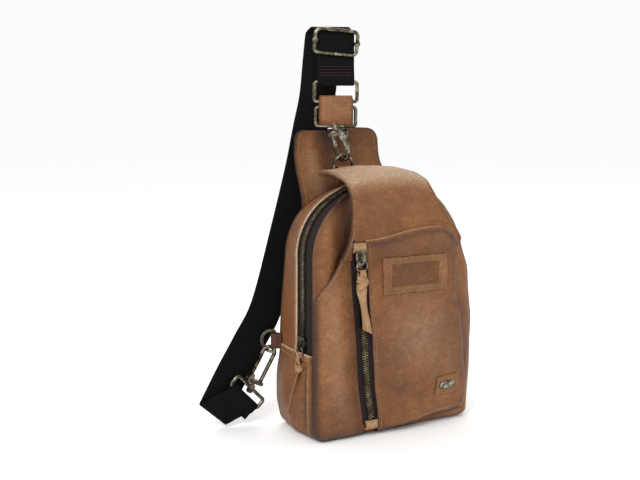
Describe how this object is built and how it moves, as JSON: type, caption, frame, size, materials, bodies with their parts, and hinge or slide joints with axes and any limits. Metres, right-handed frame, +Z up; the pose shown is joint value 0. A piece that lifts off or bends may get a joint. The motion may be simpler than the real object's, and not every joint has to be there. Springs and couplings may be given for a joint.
{
  "type": "sling bag",
  "caption": "Leather sling bag with an arched zip, a front pocket, a shoulder flap and a webbing strap clipped to it by two swivel hooks.",
  "frame": {"origin": "centre of the flat base on the surface that the bag stands on", "axes": "+Z up, the front with the pocket faces -Y, +X to the right seen from the front"},
  "size_m": [0.2766, 0.1374, 0.4204],
  "materials": {
    "leather": "distressed tan, satin",
    "thong_leather": "raw tan lace",
    "lining": "plain cotton",
    "webbing": "black herringbone webbing",
    "zip_tape": "dark brown herringbone tape",
    "zip_brass": "antiqued",
    "antique_brass": "antiqued",
    "foam": "open-cell foam",
    "board": "fibre board"
  },
  "bodies": {
    "bag": {"back_panel": "leather", "rear_gusset": "leather", "lower_gusset": "leather", "front_panel": "leather", "front_left_panel": "leather", "front_right_panel": "leather", "yoke": "leather", "pocket_panel": "leather", "neck_flap": "leather", "label_patch": "leather", "corner_tag": "leather", "pocket_top_tab": "leather", "pocket_bottom_tab": "leather", "top_ring_tab": "leather", "side_ring_tab": "leather", "keeper_loop": "leather", "main_lining": "lining", "inner_slip_pocket": "lining", "pocket_lining": "lining", "main_tape_rear": "zip_tape", "main_tape_front": "zip_tape", "pocket_tape_left": "zip_tape", "pocket_tape_right": "zip_tape", "main_teeth_rear": "zip_brass", "main_teeth_front": "zip_brass", "pocket_teeth_left": "zip_brass", "pocket_teeth_right": "zip_brass", "top_eye": "antique_brass", "side_eye": "antique_brass", "strap_ring": "antique_brass", "corner_stud": "antique_brass", "webbing_loop": "webbing", "webbing_top_bend": "webbing", "webbing_upper_run": "webbing", "webbing_lower_run": "webbing", "webbing_fold": "webbing", "webbing_return": "webbing", "back_pad_foam": "foam", "base_stiffener": "board"},
    "main_slider": {"main_slider_body": "zip_brass", "main_slider_bridge": "zip_brass"},
    "main_pull": {"main_pull_ring": "zip_brass", "main_pull_thong": "thong_leather"},
    "pocket_slider": {"pocket_slider_body": "zip_brass", "pocket_slider_bridge": "zip_brass"},
    "pocket_pull": {"pocket_pull_ring": "zip_brass", "pocket_pull_thong": "thong_leather"},
    "top_d": {"top_d_ring": "antique_brass"},
    "side_d": {"side_d_ring": "antique_brass"},
    "top_hook": {"top_hook_body": "antique_brass", "top_hook_rivet": "antique_brass", "top_swivel_stud": "antique_brass"},
    "side_hook": {"side_hook_body": "antique_brass", "side_hook_rivet": "antique_brass", "side_swivel_stud": "antique_brass"},
    "top_gate": {"top_hook_gate": "antique_brass"},
    "side_gate": {"side_hook_gate": "antique_brass"},
    "adjuster": {"adjuster_frame": "antique_brass", "adjuster_bar": "antique_brass"}
  },
  "joints": [
    {"name": "main_zip_slide", "type": "slide", "parent": "bag", "child": "main_slider", "axis": [0, 0, 1], "range_m": [0, 0.078]},
    {"name": "main_pull_swing", "type": "hinge", "parent": "main_slider", "child": "main_pull", "pos_m": [-0.0992, -0.014, 0.0952], "axis": [0, 1, 0], "range_deg": [0, 100]},
    {"name": "pocket_zip_slide", "type": "slide", "parent": "bag", "child": "pocket_slider", "axis": [-0.0706, 0, 0.9975], "range_m": [-0.142, 0]},
    {"name": "pocket_pull_swing", "type": "hinge", "parent": "pocket_slider", "child": "pocket_pull", "pos_m": [-0.04908, -0.0512, 0.18424], "axis": [-1, 0, 0], "range_deg": [0, 100]},
    {"name": "top_d_ring_swing", "type": "hinge", "parent": "bag", "child": "top_d", "pos_m": [-0.0096, 0.0495, 0.268], "axis": [1, 0, 0], "range_deg": [-2, 2]},
    {"name": "side_d_ring_swing", "type": "hinge", "parent": "bag", "child": "side_d", "pos_m": [-0.1008, 0.038, 0.09], "axis": [0, 0, 1], "range_deg": [-1.5, 3]},
    {"name": "top_hook_swivel", "type": "hinge", "parent": "bag", "child": "top_hook", "pos_m": [-0.019, 0.05, 0.315], "axis": [0.2859, -0.0152, -0.9581], "range_deg": [-8, 8]},
    {"name": "side_hook_swivel", "type": "hinge", "parent": "bag", "child": "side_hook", "pos_m": [-0.1235, 0.05, 0.0395], "axis": [0.4264, -0.1575, 0.8907], "range_deg": [-2.5, 4]},
    {"name": "top_gate_press", "type": "hinge", "parent": "top_hook", "child": "top_gate", "pos_m": [-0.012, 0.04368, 0.30341], "axis": [0.8401, 0.485, 0.243], "range_deg": [0, 20], "stiffness_Nm_per_rad": 0.02, "springref_deg": -11.46},
    {"name": "side_gate_press", "type": "hinge", "parent": "side_hook", "child": "side_gate", "pos_m": [-0.12419, 0.04793, 0.05428], "axis": [0.0692, 0.9875, 0.1415], "range_deg": [0, 20], "stiffness_Nm_per_rad": 0.02, "springref_deg": -11.46},
    {"name": "adjuster_slide", "type": "slide", "parent": "bag", "child": "adjuster", "axis": [0.079, -0.0368, 0.9962], "range_m": [-0.007, 0]}
  ]
}
